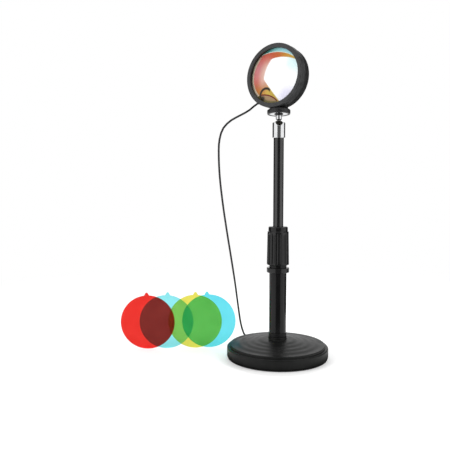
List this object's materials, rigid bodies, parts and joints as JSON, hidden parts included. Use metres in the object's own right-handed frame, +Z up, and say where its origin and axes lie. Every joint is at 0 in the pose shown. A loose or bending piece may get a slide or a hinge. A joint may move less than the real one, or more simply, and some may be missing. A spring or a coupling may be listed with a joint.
{
  "type": "table lamp",
  "caption": "Sunset projection lamp: round adjustable head on a ball joint, telescopic mast with lock nut, round stepped base, USB lead and loose round colour filters.",
  "frame": {"origin": "centre of the base's underside, where the foot pad rests on the table", "axes": "+Z up along the mast; -Y towards the viewer of the picture; the filters stand towards -X"},
  "size_m": [0.2764, 0.1681, 0.3989],
  "materials": {
    "base_plastic": "satin black",
    "ballast": "rough cast",
    "foam_pad": "matt",
    "plain_steel": "zinc plated",
    "black_tube": "satin black",
    "grip_plastic": "satin black",
    "nylon": "natural",
    "bright_chrome": "polished",
    "bright_alloy": "satin",
    "head_plastic": "satin black",
    "insert_brass": "turned",
    "soft_rubber": "matt",
    "coated_glass": "iridescent coating",
    "clear_glass": "polished",
    "board_white": "white solder mask",
    "chip_phosphor": "phosphor",
    "orange_film": "clear film",
    "cord_rubber": "satin",
    "red_gel": "clear sheet",
    "sky_gel": "clear sheet",
    "yellow_gel": "clear sheet",
    "blue_gel": "clear sheet"
  },
  "bodies": {
    "base": {"base_cover": "base_plastic", "base_weight": "ballast", "base_plate": "base_plastic", "foot_pad": "foam_pad", "base_bolt": "plain_steel", "base_washer": "plain_steel", "tube_foot": "base_plastic", "lower_tube": "black_tube", "stop_ring": "grip_plastic", "collet": "nylon", "cord_drop": "cord_rubber", "cord_coil": "cord_rubber", "coil_tie": "grip_plastic", "cord_tail": "cord_rubber", "plug_body": "soft_rubber", "plug_shell": "plain_steel", "plug_tongue": "nylon"},
    "clamp_nut": {"lock_nut": "grip_plastic"},
    "carriage": {"guide_bush": "nylon"},
    "mast": {"upper_tube": "black_tube", "mast_plug": "plain_steel", "ball_socket": "bright_chrome", "ball_cup": "nylon", "cord_mast": "cord_rubber"},
    "stem": {"ball_stem": "bright_chrome", "nut_washer": "bright_alloy", "cord_stem": "cord_rubber"},
    "thumb_nut": {"disc_nut": "grip_plastic"},
    "head": {"head_casing": "head_plastic", "boss_insert": "insert_brass", "lens_gasket": "soft_rubber", "lens": "coated_glass", "lens_retainer": "grip_plastic", "heat_sink": "bright_alloy", "led_board": "board_white", "led_chip": "chip_phosphor", "condenser_lens": "clear_glass", "sunset_film": "orange_film", "light_shield": "grip_plastic", "back_cover": "head_plastic", "cover_screw_1": "plain_steel", "cover_screw_2": "plain_steel", "cover_screw_3": "plain_steel", "switch_body": "grip_plastic", "cord_gland": "soft_rubber", "cord_head": "cord_rubber"},
    "front_ring": {"front_bezel": "head_plastic"},
    "button": {"switch_button": "grip_plastic"},
    "red_filter": {"filter_red": "red_gel"},
    "sky_filter": {"filter_sky": "sky_gel"},
    "yellow_filter": {"filter_yellow": "yellow_gel"},
    "blue_filter": {"filter_blue": "blue_gel"}
  },
  "joints": [
    {"name": "lock_nut_turn", "type": "hinge", "parent": "base", "child": "clamp_nut", "pos_m": [0, 0, 0.145], "axis": [0, 0, 1], "range_deg": [0, 180]},
    {"name": "mast_slide", "type": "slide", "parent": "base", "child": "carriage", "axis": [0, 0, 1], "range_m": [-0.075, 0.01], "deforming": ["cord_drop"]},
    {"name": "mast_turn", "type": "hinge", "parent": "carriage", "child": "mast", "pos_m": [0, 0, 0.2], "axis": [0, 0, 1], "range_deg": [-180, 180], "deforming": ["cord_mast"]},
    {"name": "ball_tilt", "type": "hinge", "parent": "mast", "child": "stem", "pos_m": [0, 0, 0.297], "axis": [1, 0, 0], "range_deg": [-23, 65], "deforming": ["cord_stem"]},
    {"name": "disc_nut_turn", "type": "hinge", "parent": "stem", "child": "thumb_nut", "pos_m": [0, 0.00208, 0.31508], "axis": [0, 0.1142, 0.9935], "range_deg": [0, 180]},
    {"name": "head_swivel", "type": "hinge", "parent": "stem", "child": "head", "pos_m": [0, 0.00699, 0.3578], "axis": [0, 0.1142, 0.9935], "range_deg": [-150, 150], "deforming": ["cord_head"]},
    {"name": "front_ring_turn", "type": "hinge", "parent": "head", "child": "front_ring", "pos_m": [0, 0.00699, 0.3578], "axis": [-0.5941, -0.7991, 0.0919], "range_deg": [0, 270]},
    {"name": "switch_press", "type": "slide", "parent": "head", "child": "button", "axis": [-0.5941, -0.7991, 0.0919], "range_m": [0, 0.0012], "stiffness_N_per_m": 800, "springref_m": -0.001},
    {"name": "red_filter_lift", "type": "slide", "parent": "base", "child": "red_filter", "axis": [0, 0, 1], "range_m": [0, 0.1]},
    {"name": "sky_filter_lift", "type": "slide", "parent": "base", "child": "sky_filter", "axis": [0, 0, 1], "range_m": [0, 0.1]},
    {"name": "yellow_filter_lift", "type": "slide", "parent": "base", "child": "yellow_filter", "axis": [0, 0, 1], "range_m": [0, 0.1]},
    {"name": "blue_filter_lift", "type": "slide", "parent": "base", "child": "blue_filter", "axis": [0, 0, 1], "range_m": [0, 0.1]}
  ]
}
